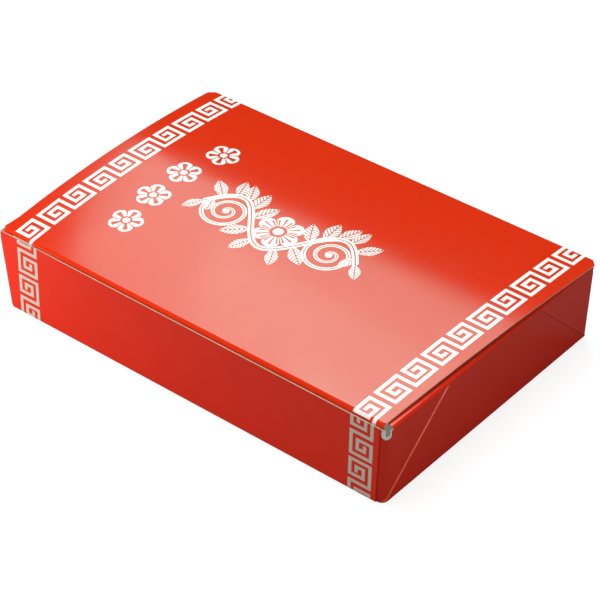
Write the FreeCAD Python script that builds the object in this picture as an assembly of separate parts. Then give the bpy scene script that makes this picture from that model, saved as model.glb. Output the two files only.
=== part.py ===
import FreeCAD, Part
import math
import os

# Takeout carton: a folded and glued board tray with a hinged lid whose flap tucks in behind
# the front wall. The two end walls lean outwards, so the floor is shorter than the lid.
# Millimetres, +Z up, front wall at -Y, floor underside at Z = 0.

# Overall sizes
length = 200.0               # outside, along X, at the top edge
width = 130.0                # outside, along Y
wall_height = 37.5           # floor underside to the cut top edge of the front wall
end_flare = 2.6              # how far each end wall leans out over the wall's height
board = 0.45                 # thickness of the coated board
front_edge_fall = 0.8        # how much lower the front wall's edge is at its right end

# Folds, as inside radii
floor_fold = 0.55            # round the floor
corner_fold = 0.8            # upright creases
worn_corner_fold = 2.6       # upright crease at the front right, softened by handling
dust_fold = 0.75             # top of an end wall, into its dust flap
front_fold = 1.4             # front of the lid, into the tuck flap
corner_chamfer = 0.6         # foot of the upright creases, in place of the floor's fold

# Front and back walls stop short of the upright creases and cover the glue flaps
panel_setback = 0.6          # from an upright crease to the cut side of a front or back wall

# Glue flaps, behind the ends of the front and back walls
glue_length = 20.0
glue_low_slope = 9.0         # rise of the lower edge along the flap
glue_high_slope = 5.0        # fall of the upper edge along the flap
glue_low_start = 2.0         # lower edge at the crease, above the floor underside
glue_high_start = 1.2        # upper edge at the crease, below the front wall's edge

# Dust flaps, folded in from the end walls and lying under the lid
dust_length = 24.0
dust_front_inset = 3.5       # from the front wall's outside to the start of the crease
dust_back_inset = 4.0        # from the back wall's outside to the end of the crease
dust_taper = 7.0             # narrowing of each side over the flap's length
dust_round = 4.0             # radius of the free corners
dust_drop = 0.2              # top of the flap below the hinge line

# Relief slots at the top of the upright creases
slot_width = 1.6
slot_depth = 4.2

# Pressed crease beads, at 45 degrees up each end wall from its lower corners
bead_groove = 0.35           # radius of the groove on the inside of the board
bead_angle = 45.0

# Lid
hinge_gap = 0.15             # board to hinge line, on both sides of the crease
lid_overhang = 1.0           # short edge of the lid at the hinge, outside the end wall's face
lid_hinge_cut = 2.5          # corner cut where the short edge meets the hinge
lid_front_inset = 2.8        # lid's front corner, inside the end wall's face
tuck_clearance = 0.2         # between the tuck flap and the glue flaps
tuck_depth = 15.0            # lid's top at the front fold, down to the flap's edge
tuck_side_inset = 3.8        # side of the flap at its top, inside the end wall's face
tuck_taper = 3.5             # narrowing of each side over the flap's depth
tuck_round = 9.0             # radius of the flap's free corners
lean_margin = 3.0            # degrees that the flap leans in beyond what its swing needs
left_arch = 3.4              # crown of the lid at its left edge
right_arch = 1.3             # crown of the lid at its right edge
front_rise = 0.7             # lid's top at the front fold, above the hinge line

# Places that follow from the sizes above
half_length = length / 2
half_width = width / 2
lean = math.atan2(end_flare, wall_height)
floor_end = half_length - end_flare
leaning_board = board / math.cos(lean)
hinge_height = wall_height
back_height = hinge_height - hinge_gap
dust_height = hinge_height - dust_drop
dust_outside = dust_fold + board
end_height = dust_height - dust_outside * math.tan((math.pi / 2 + lean) / 2) * math.cos(lean)
front_outside = front_fold + board
lid_end = half_length + lid_overhang
lid_front = -half_width + 2 * board + tuck_clearance
tuck_lean = math.radians(lean_margin) + tuck_depth / (2 * width)
fold_slope = 2 * (left_arch + right_arch) / width
fold_up = FreeCAD.Vector(0, -math.sin(fold_slope), math.cos(fold_slope))
past = 5.0                   # how far cutting shapes reach past what they cut
lap = 0.5                    # how far a fold's section starts inside the wall that it grows from


def in_xy(u, v):
    return FreeCAD.Vector(u, v, 0)


def in_xz(u, v):
    return FreeCAD.Vector(u, 0, v)


def in_yz(u, v):
    return FreeCAD.Vector(0, u, v)


def end_face(z):
    """Outer face of an end wall at height z, from the middle of the carton."""
    return floor_end + z * math.tan(lean)


def corner_outside(side, face):
    """Outside radius of an upright crease; side is 1 on the right, face is 1 at the back."""
    return board + (worn_corner_fold if (side, face) == (1, -1) else corner_fold)


def straight_end(side, face):
    """Where an end wall meets its upright crease, from the middle of the carton."""
    return half_width - board - corner_outside(side, face)


def panel_end(z, side, face):
    """Cut side of the back or front wall at height z."""
    return end_face(z) - corner_outside(side, face) - panel_setback


def leaned(shape, side):
    """Shape made upright on the floor's end, leaned out with its end wall."""
    shape.rotate(
        FreeCAD.Vector(side * floor_end, 0, 0), FreeCAD.Vector(0, 1, 0), side * math.degrees(lean)
    )
    return shape


def polygon(points):
    return Part.makePolygon(points + points[:1])


def prism(wire, direction):
    return Part.Face(wire).extrude(direction)


def folded_side(corners, radius, place):
    """Edges along one side of a folded board: straight runs joined by tangent arcs."""
    edges = []
    start = corners[0]
    for before, corner, after in zip(corners, corners[1:], corners[2:]):
        arriving = (corner - before).normalize()
        leaving = (after - corner).normalize()
        turn = arriving.getAngle(leaving)
        reach = radius * math.tan(turn / 2)
        first = corner - arriving * reach
        last = corner + leaving * reach
        inward = (leaving - arriving).normalize()
        middle = corner + inward * (radius / math.cos(turn / 2) - radius)
        edges.append(Part.LineSegment(place(*start[:2]), place(*first[:2])).toShape())
        edges.append(Part.Arc(place(*first[:2]), place(*middle[:2]), place(*last[:2])).toShape())
        start = last
    edges.append(Part.LineSegment(place(*start[:2]), place(*corners[-1][:2])).toShape())
    return edges


def folded_board(outer, inner, inside_radius, place):
    """Section of a board folded always the same way, between its outer and inner corners."""
    outer = [FreeCAD.Vector(u, v, 0) for u, v in outer]
    inner = [FreeCAD.Vector(u, v, 0) for u, v in inner]
    outside = folded_side(outer, inside_radius + board, place)
    inside = folded_side(inner, inside_radius, place)
    caps = [
        Part.LineSegment(place(*outer[0][:2]), place(*inner[0][:2])).toShape(),
        Part.LineSegment(place(*outer[-1][:2]), place(*inner[-1][:2])).toShape(),
    ]
    return Part.Wire(Part.__sortEdges__(outside + inside + caps))


def front_floor_back():
    """Front wall, floor and back wall, folded from one strip."""
    outer = [
        (-half_width, wall_height),
        (-half_width, 0),
        (half_width, 0),
        (half_width, back_height),
    ]
    inner = [
        (-half_width + board, wall_height),
        (-half_width + board, board),
        (half_width - board, board),
        (half_width - board, back_height),
    ]
    strip = prism(folded_board(outer, inner, floor_fold, in_yz), FreeCAD.Vector(length, 0, 0))
    strip.translate(FreeCAD.Vector(-half_length, 0, 0))
    halves = []
    for face in (-1, 1):
        outline = polygon([
            in_xz(-panel_end(0, -1, face), 0),
            in_xz(panel_end(0, 1, face), 0),
            in_xz(panel_end(wall_height, 1, face), wall_height),
            in_xz(-panel_end(wall_height, -1, face), wall_height),
        ])
        halves.append(strip.common(prism(outline, FreeCAD.Vector(0, face * half_width, 0))))
    left, right = -panel_end(wall_height, -1, -1), panel_end(wall_height, 1, -1)
    above_edge = prism(
        polygon([
            in_xz(left, wall_height),
            in_xz(right, wall_height - front_edge_fall),
            in_xz(right, wall_height + past),
            in_xz(left, wall_height + past),
        ]),
        FreeCAD.Vector(0, -width, 0),
    )
    return halves[0].cut(above_edge).fuse(halves[1])


def end_wall(side):
    """An end wall with its half of the floor strip; side is 1 on the right, -1 on the left."""
    outer = [(0, 0), (side * floor_end, 0), (side * end_face(end_height), end_height)]
    inner = [
        (0, board),
        (side * (end_face(board) - leaning_board), board),
        (side * (end_face(end_height) - leaning_board), end_height),
    ]
    section = folded_board(outer, inner, floor_fold, in_xz)
    front, back = straight_end(side, -1), straight_end(side, 1)
    wall = prism(section, FreeCAD.Vector(0, front + back, 0))
    wall.translate(FreeCAD.Vector(0, -front, 0))
    return wall


def dust_flap(side):
    """Fold at the top of an end wall and the dust flap that it turns into."""
    free = half_length - dust_length
    start = end_height - lap
    under = dust_height - board
    outer = [
        (side * end_face(start), start),
        (side * end_face(dust_height), dust_height),
        (side * free, dust_height),
    ]
    inner = [
        (side * (end_face(start) - leaning_board), start),
        (side * (end_face(under) - leaning_board), under),
        (side * free, under),
    ]
    sheet = prism(folded_board(outer, inner, dust_fold, in_xz), FreeCAD.Vector(0, width, 0))
    sheet.translate(FreeCAD.Vector(0, -half_width, 0))
    front = -half_width + dust_front_inset
    back = half_width - dust_back_inset
    crease = half_length - dust_outside
    outline = prism(
        polygon([
            in_xy(side * (half_length + past), front),
            in_xy(side * crease, front),
            in_xy(side * free, front + dust_taper),
            in_xy(side * free, back - dust_taper),
            in_xy(side * crease, back),
            in_xy(side * (half_length + past), back),
        ]),
        FreeCAD.Vector(0, 0, wall_height + past),
    )
    free_corners = [
        edge for edge in outline.Edges
        if abs(abs(edge.CenterOfMass.x) - free) < board and abs(edge.tangentAt(0).z) > 0.5
    ]
    return sheet.common(outline.makeFillet(dust_round, free_corners))


def corner_strip(side, face):
    """Upright crease and glue flap; face is 1 behind the back wall, -1 behind the front wall."""
    flat = half_width - board
    free = floor_end - glue_length
    outer = [
        (side * floor_end, face * (straight_end(side, face) - lap)),
        (side * floor_end, face * flat),
        (side * free, face * flat),
    ]
    inner = [
        (side * (floor_end - board), face * (straight_end(side, face) - lap)),
        (side * (floor_end - board), face * (flat - board)),
        (side * free, face * (flat - board)),
    ]
    section = folded_board(outer, inner, corner_outside(side, face) - board, in_xy)
    strip = prism(section, FreeCAD.Vector(0, 0, end_height))
    crease = floor_end - corner_outside(side, face)
    flap_outline = prism(
        polygon([
            in_xz(side * crease, glue_low_start),
            in_xz(side * free, glue_low_start + glue_low_slope),
            in_xz(side * free, wall_height - glue_high_start - glue_high_slope),
            in_xz(side * crease, wall_height - glue_high_start),
        ]),
        FreeCAD.Vector(0, width, 0),
    )
    crease_outline = prism(
        polygon([
            in_xz(side * crease, 0),
            in_xz(side * (half_length + past), 0),
            in_xz(side * (half_length + past), wall_height),
            in_xz(side * crease, wall_height),
        ]),
        FreeCAD.Vector(0, width, 0),
    )
    outline = flap_outline.fuse(crease_outline)
    outline.translate(FreeCAD.Vector(0, -half_width, 0))
    return strip.common(outline).cut(relief_slot(side, face))


def relief_slot(side, face):
    """Round-bottomed slot through the top of an upright crease, square to its bend."""
    bend = corner_outside(side, face)
    middle = FreeCAD.Vector(side * (floor_end - bend), face * (half_width - board - bend), 0)
    outward = FreeCAD.Vector(side, face, 0).normalize()
    across = FreeCAD.Vector(-outward.y, outward.x, 0)
    bottom = wall_height - slot_depth + slot_width / 2
    reach = bend + past
    tool = Part.makeCylinder(
        slot_width / 2, reach, middle + FreeCAD.Vector(0, 0, bottom), outward
    )
    edge = across * (slot_width / 2)
    low = FreeCAD.Vector(0, 0, bottom)
    high = FreeCAD.Vector(0, 0, wall_height + past)
    mouth = prism(
        polygon([middle - edge + low, middle + edge + low, middle + edge + high, middle - edge + high]),
        outward * reach,
    )
    return tool.fuse(mouth)


def corner_envelope():
    """Block with rounded sides and a chamfered floor that the upright creases end on."""
    block = Part.makeBox(
        2 * floor_end, width - 2 * board, wall_height,
        FreeCAD.Vector(-floor_end, -half_width + board, 0),
    )
    for side in (-1, 1):
        for face in (-1, 1):
            start = straight_end(side, face)
            upright = [
                edge for edge in block.Edges
                if edge.BoundBox.ZLength > wall_height / 2
                and side * edge.CenterOfMass.x > start and face * edge.CenterOfMass.y > start
            ]
            block = block.makeFillet(corner_outside(side, face), upright)
    floor = [edge for edge in block.Edges if edge.BoundBox.ZMax < board]
    return block.makeChamfer(corner_chamfer, floor)


def floor_corner(side, face):
    """Floor board inside the foot of an upright crease, between the two strips."""
    inner_x, inner_y = panel_end(0, side, face), straight_end(side, face) - lap
    reach, depth = floor_end - inner_x, half_width - board - inner_y
    return Part.makeBox(
        reach, depth, board,
        FreeCAD.Vector(
            min(side * inner_x, side * floor_end),
            min(face * inner_y, face * (inner_y + depth)),
            0,
        ),
    )


def bead(side, face):
    """Pressed bead on an end wall: a half-round of even thickness, pushed outwards."""
    rise = math.radians(bead_angle)
    direction = FreeCAD.Vector(0, -face * math.cos(rise), math.sin(rise))
    foot = FreeCAD.Vector(side * (floor_end - board), face * half_width, 0)
    run = wall_height / math.sin(rise)
    ridge = Part.makeCylinder(bead_groove + board, run, foot, direction)
    groove = Part.makeCylinder(bead_groove, run, foot, direction)
    low = floor_fold + board
    front, back = straight_end(side, -1), straight_end(side, 1)
    field = Part.makeBox(
        past, front + back, end_height - low,
        FreeCAD.Vector(min(side * (floor_end - board), side * (floor_end - board + past)), -front, low),
    )
    return leaned(ridge.common(field), side), leaned(groove.common(field), side)


def make_tray():
    """Tray: floor, four walls, glue flaps, dust flaps and crease beads in one folded board."""
    envelope = corner_envelope()
    pieces = []
    for side in (-1, 1):
        for face in (-1, 1):
            pieces.append(leaned(corner_strip(side, face).common(envelope), side))
            pieces.append(floor_corner(side, face).common(envelope))
        pieces += [end_wall(side), dust_flap(side)]
    beads = [bead(side, face) for side in (-1, 1) for face in (-1, 1)]
    pieces += [ridge for ridge, groove in beads]
    tray = front_floor_back().multiFuse(pieces)
    tray = tray.cut(Part.makeCompound([groove for ridge, groove in beads]))
    return tray.removeSplitter()


def fold_line(x):
    """Top of the front fold at x, where the lid's panel ends."""
    return FreeCAD.Vector(
        x, lid_front + front_outside * (1 - math.sin(fold_slope)), hinge_height + front_rise
    )


def panel_section(x, arch):
    """Section of the lid's panel at x: an arch from the hinge to the front fold."""
    hinge = FreeCAD.Vector(x, half_width - hinge_gap, hinge_height + hinge_gap + board)
    end = fold_line(x)
    chord = end - hinge
    across = FreeCAD.Vector(0, chord.z, -chord.y).normalize()
    crown = (hinge + end) * 0.5 + across * arch
    outer = Part.Arc(hinge, crown, end).toShape()
    inner_end = end - fold_up * board
    inner_crown = crown - across * board
    inner_hinge = hinge - (hinge - outer.Curve.Center).normalize() * board
    return Part.Wire([
        outer,
        Part.LineSegment(end, inner_end).toShape(),
        Part.Arc(inner_end, inner_crown, inner_hinge).toShape(),
        Part.LineSegment(inner_hinge, hinge).toShape(),
    ])


def flap_section(end):
    """Section of the front fold and the leaning tuck flap, from the end of the panel."""
    centre = end - fold_up * front_outside
    out = FreeCAD.Vector(0, -math.cos(tuck_lean), -math.sin(tuck_lean))
    down = FreeCAD.Vector(0, math.sin(tuck_lean), -math.cos(tuck_lean))
    middle = (fold_up + out).normalize()
    top = centre + out * front_outside
    tip = top + down * ((top.z - end.z + tuck_depth) / math.cos(tuck_lean))
    return Part.Wire([
        Part.Arc(end, centre + middle * front_outside, top).toShape(),
        Part.LineSegment(top, tip).toShape(),
        Part.LineSegment(tip, tip - out * board).toShape(),
        Part.LineSegment(tip - out * board, top - out * board).toShape(),
        Part.Arc(top - out * board, centre + middle * front_fold, end - fold_up * board).toShape(),
        Part.LineSegment(end - fold_up * board, end).toShape(),
    ])


def lid_outline():
    """Plan of the lid: short edges that run in towards the front, and cut hinge corners."""
    hinge = lid_end
    corner = half_length - lid_front_inset
    right = [
        (corner, -half_width),
        (corner, lid_front),
        (hinge, half_width - lid_hinge_cut),
        (hinge - lid_hinge_cut, half_width),
    ]
    points = right + [(-x, y) for x, y in reversed(right)]
    return prism(polygon([in_xy(*point) for point in points]), FreeCAD.Vector(0, 0, 2 * wall_height))


def tuck_outline():
    """Front view of the lid: full above the front fold, the rounded tuck flap below it."""
    top = hinge_height + front_rise - front_outside
    tip = hinge_height + front_rise - tuck_depth - board
    upper = half_length - tuck_side_inset
    lower = upper - tuck_taper
    flap = prism(
        polygon([in_xz(-lower, tip), in_xz(lower, tip), in_xz(upper, top), in_xz(-upper, top)]),
        FreeCAD.Vector(0, width, 0),
    )
    corners = [
        edge for edge in flap.Edges
        if abs(edge.tangentAt(0).y) > 0.5 and edge.CenterOfMass.z < tip + board
    ]
    flap = flap.makeFillet(tuck_round, corners)
    panel = Part.makeBox(2 * lid_end, width, wall_height, FreeCAD.Vector(-lid_end, 0, top))
    outline = flap.fuse(panel)
    outline.translate(FreeCAD.Vector(0, -half_width, 0))
    return outline


def make_lid():
    """Lid: an arched panel folded down into the tuck flap at the front."""
    panel = Part.makeLoft(
        [
            panel_section(-lid_end, left_arch),
            panel_section(lid_end, right_arch),
        ],
        True, True,
    )
    flap = prism(flap_section(fold_line(-lid_end)), FreeCAD.Vector(2 * lid_end, 0, 0))
    return panel.fuse(flap).common(lid_outline()).common(tuck_outline())


os.makedirs("parts", exist_ok=True)
for name, shape in (("tray", make_tray()), ("lid", make_lid())):
    solid = shape.Solids[0]
    assert len(shape.Solids) == 1 and solid.isValid(), name
    solid.exportStep(os.path.join("parts", name + ".step"))
    print(name, len(solid.Faces), "faces", round(solid.Volume, 1), "mm3", solid.BoundBox)
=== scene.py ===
"""Takeout carton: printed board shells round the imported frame, with a floor, lamps and a camera."""

import logging
import math
from collections.abc import Callable, Sequence
from dataclasses import dataclass, replace
from enum import IntEnum
from functools import reduce

import bmesh
import bpy
from mathutils import Matrix, Quaternion, Vector


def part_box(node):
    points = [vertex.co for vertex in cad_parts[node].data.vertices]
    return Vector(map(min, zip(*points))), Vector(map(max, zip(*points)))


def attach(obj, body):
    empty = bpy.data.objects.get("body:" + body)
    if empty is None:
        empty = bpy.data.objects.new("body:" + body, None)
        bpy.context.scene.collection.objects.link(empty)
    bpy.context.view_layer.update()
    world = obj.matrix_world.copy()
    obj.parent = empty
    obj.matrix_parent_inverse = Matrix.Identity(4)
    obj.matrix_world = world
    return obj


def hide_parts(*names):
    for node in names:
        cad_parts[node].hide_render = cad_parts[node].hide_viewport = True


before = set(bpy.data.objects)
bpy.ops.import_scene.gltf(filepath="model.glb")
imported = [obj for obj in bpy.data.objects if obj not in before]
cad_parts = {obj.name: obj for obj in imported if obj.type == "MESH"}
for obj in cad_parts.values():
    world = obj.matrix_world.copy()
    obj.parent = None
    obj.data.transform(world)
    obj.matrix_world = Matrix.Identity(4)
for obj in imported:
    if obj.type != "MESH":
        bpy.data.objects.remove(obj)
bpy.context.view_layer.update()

MM = 0.001
BLANK_MAP = "blank"
LOG = logging.getLogger("carton")

# In millimetres: a cut snaps to a corner this near, corners are picked this near, edges weld this near.
SNAP = 1e-5
NEAR = 0.01
WELD = 0.02

# The colour sockets of a Mix node, which share their names with its other sockets.
MIX_FIRST, MIX_SECOND, MIX_RESULT = 6, 7, 2

Pair = tuple[float, float]
Triple = tuple[float, float, float]
Colour = tuple[float, float, float, float]
Term = bpy.types.NodeSocket | float | Sequence[float]

BLACK: Colour = (0.0, 0.0, 0.0, 1.0)
WHITE: Colour = (1.0, 1.0, 1.0, 1.0)


class BoardFace(IntEnum):
    """Places of the finishes on a board piece."""

    PRINT = 0
    INSIDE = 1
    EDGE = 2


class FoldedPath:
    """Section of a board's printed side: straight runs joined by tangent arcs, read by length."""

    def __init__(self, corners: Sequence[Pair], radii: Sequence[float]) -> None:
        """Lay the runs and arcs out.

        Args:
            corners: sharp corners of the section, in millimetres.
            radii: printed side's radius at each corner between the first and the last.
        """
        self.spans: list[tuple[float, Callable[[float], Vector]]] = []
        self.arcs: list[Pair] = []
        self.length = 0.0
        points = [Vector(corner) for corner in corners]
        start = points[0]
        for before, corner, after, bend in zip(points, points[1:], points[2:], radii):
            arriving = (corner - before).normalized()
            leaving = (after - corner).normalized()
            turn = arriving.angle_signed(leaving)
            reach = bend * math.tan(abs(turn) / 2)
            first = corner - arriving * reach
            self._run(start, first)
            self._arc(first, arriving, bend, turn)
            start = corner + leaving * reach
        self._run(start, points[-1])

    def _run(self, start: Vector, end: Vector) -> None:
        """Add a straight run.

        Args:
            start: where the run starts.
            end: where it ends.
        """
        along = (end - start).normalized()
        self.spans.append((self.length, lambda s: start + along * s))
        self.length += (end - start).length

    def _arc(self, start: Vector, arriving: Vector, bend: float, turn: float) -> None:
        """Add an arc.

        Args:
            start: where the arc starts.
            arriving: direction of the run before it.
            bend: radius of the arc.
            turn: angle that it turns by, clockwise where it is positive.
        """
        side = math.copysign(1.0, -turn)
        centre = start + Vector((-arriving.y, arriving.x)) * bend * side
        spoke = start - centre

        def at(s: float) -> Vector:
            """Point of the arc at length s."""
            return centre + Matrix.Rotation(side * s / bend, 2) @ spoke

        self.arcs.append((self.length, self.length + bend * abs(turn)))
        self.spans.append((self.length, at))
        self.length += bend * abs(turn)

    def at(self, s: float) -> Vector:
        """Point of the section at length s."""
        begin, place = [span for span in self.spans if span[0] <= max(s, 0.0) + SNAP][-1]
        return place(s - begin)


@dataclass(frozen=True)
class Board:
    """Coated board that the carton is folded from, in millimetres and radians."""

    thickness: float = 0.45
    fold_steps: int = 6
    support: float = 0.25
    sharp_angle: float = math.radians(38)


class Sheet:
    """Flat piece of the blank, cut to its outline, scored across and then folded into place."""

    def __init__(self, outline: Sequence[Pair]) -> None:
        """Start from one flat face.

        Args:
            outline: corners of the cut line on the blank, in millimetres, in order.
        """
        self.mesh = bmesh.new()
        self.mesh.faces.new([self.mesh.verts.new((u, v, 0.0)) for u, v in outline])

    def turn_face(self) -> None:
        """Turn the face over, where the outline runs clockwise."""
        bmesh.ops.reverse_faces(self.mesh, faces=self.mesh.faces)

    def round_corners(self, picked: Callable[[Vector], bool], radius: float, steps: int) -> None:
        """Round some of the outline's corners.

        Args:
            picked: says of a corner's place on the blank whether it is rounded.
            radius: radius of the round.
            steps: straight steps in each round.
        """
        corners = [vert for vert in self.mesh.verts if picked(vert.co)]
        bmesh.ops.bevel(
            self.mesh, geom=corners, offset=radius, offset_type="OFFSET", segments=steps,
            profile=0.5, affect="VERTICES", material=-1,
        )

    def score(self, point: Pair, across: Pair) -> None:
        """Cut an edge right across the sheet.

        Args:
            point: a point of the edge.
            across: direction square to the edge.
        """
        everything = [*self.mesh.verts, *self.mesh.edges, *self.mesh.faces]
        bmesh.ops.bisect_plane(
            self.mesh, geom=everything, dist=SNAP, plane_co=(*point, 0.0), plane_no=(*across, 0.0)
        )

    def score_folds(self, path: FoldedPath, across: Pair, board: Board) -> None:
        """Score the sheet at every step of a section's folds and beside them.

        Args:
            path: the section that the sheet will follow.
            across: direction of the section on the sheet.
            board: the board, which says how fine the folds are.
        """
        for begin, end in path.arcs:
            steps = [begin + (end - begin) * i / board.fold_steps for i in range(board.fold_steps + 1)]
            for s in [begin - board.support, *steps, end + board.support]:
                self.score((across[0] * s, across[1] * s), across)

    def fold(
        self,
        place: Callable[[float, float], Vector],
        net: Callable[[float, float], Pair],
        turn_over: bool,
    ) -> bmesh.types.BMesh:
        """Fold the sheet.

        Args:
            place: gives the folded place of a point of the sheet, in millimetres.
            net: gives the point's place on the whole blank, kept in the UV map.
            turn_over: true where the printed side would otherwise face in.

        Returns:
            The folded sheet, in metres.
        """
        layer = self.mesh.loops.layers.uv.new(BLANK_MAP)
        for face in self.mesh.faces:
            for loop in face.loops:
                loop[layer].uv = net(loop.vert.co.x, loop.vert.co.y)
        for vert in self.mesh.verts:
            vert.co = place(vert.co.x, vert.co.y) * MM
        if turn_over:
            self.turn_face()
        return self.mesh


def add_object(name: str, data: bpy.types.ID) -> bpy.types.Object:
    """Put new object data in the scene.

    Args:
        name: name of the object.
        data: its mesh, lamp or camera.

    Returns:
        The new object.
    """
    thing = bpy.data.objects.new(name, data)
    bpy.context.scene.collection.objects.link(thing)
    return thing


def joined(sheets: Sequence[bmesh.types.BMesh], name: str) -> bpy.types.Mesh:
    """Join folded sheets where their edges meet.

    Args:
        sheets: the folded sheets.
        name: name of the new mesh.

    Returns:
        One mesh with its doubles merged.
    """
    whole = bmesh.new()
    for sheet in sheets:
        part = bpy.data.meshes.new(name + "_sheet")
        sheet.to_mesh(part)
        sheet.free()
        whole.from_mesh(part)
        bpy.data.meshes.remove(part)
    bmesh.ops.remove_doubles(whole, verts=whole.verts, dist=WELD * MM)
    mesh = bpy.data.meshes.new(name)
    whole.to_mesh(mesh)
    whole.free()
    return mesh


def board_piece(
    name: str, mesh: bpy.types.Mesh, board: Board, finishes: Sequence[bpy.types.Material]
) -> bpy.types.Object:
    """Give a folded sheet its thickness.

    Args:
        name: name of the piece.
        mesh: the printed side, facing out.
        board: the board that it is made of.
        finishes: printed side, inside and cut edge, in the order of BoardFace.

    Returns:
        The finished piece, with its place in its mesh.
    """
    piece = add_object(name, mesh)
    for finish in finishes:
        mesh.materials.append(finish)
    wall = piece.modifiers.new("board", "SOLIDIFY")
    wall.thickness = board.thickness * MM
    wall.offset = -1.0
    wall.use_even_offset = True
    wall.use_rim = True
    wall.material_offset = BoardFace.INSIDE
    wall.material_offset_rim = BoardFace.EDGE
    depsgraph = bpy.context.evaluated_depsgraph_get()
    solid = bpy.data.meshes.new_from_object(piece.evaluated_get(depsgraph), depsgraph=depsgraph)
    piece.modifiers.remove(wall)
    piece.data = solid
    solid.name = name
    solid.shade_smooth()
    solid.set_sharp_from_angle(angle=board.sharp_angle)
    return piece


def hide_edges(piece: bpy.types.Object, hidden: Callable[[Vector, Vector], bool]) -> None:
    """Give the printed finish to cut edges that lie in a crease or under the print's turn.

    Args:
        piece: the finished piece.
        hidden: says whether the edge with this centre, in metres, and this normal is one of them.
    """
    for face in piece.data.polygons:
        if face.material_index == BoardFace.EDGE and hidden(face.center, face.normal):
            face.material_index = BoardFace.PRINT


@dataclass(frozen=True)
class CartonSizes:
    """Sizes that the tray and the lid share, in millimetres."""

    length: float = 200.0
    width: float = (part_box("tray")[1].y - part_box("tray")[0].y) / MM
    wall_height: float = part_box("tray")[1].z / MM
    end_flare: float = 2.6
    floor_fold: float = 0.55
    hinge_gap: float = 0.15

    @property
    def half_length(self) -> float:
        """Middle to the outside of an end wall at its top."""
        return self.length / 2

    @property
    def half_width(self) -> float:
        """Middle to the outside of the front or back wall."""
        return self.width / 2

    @property
    def floor_end(self) -> float:
        """Middle to the outside of an end wall at the floor."""
        return self.half_length - self.end_flare

    @property
    def slope(self) -> float:
        """Outward run of an end wall for each millimetre of height."""
        return self.end_flare / self.wall_height


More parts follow.
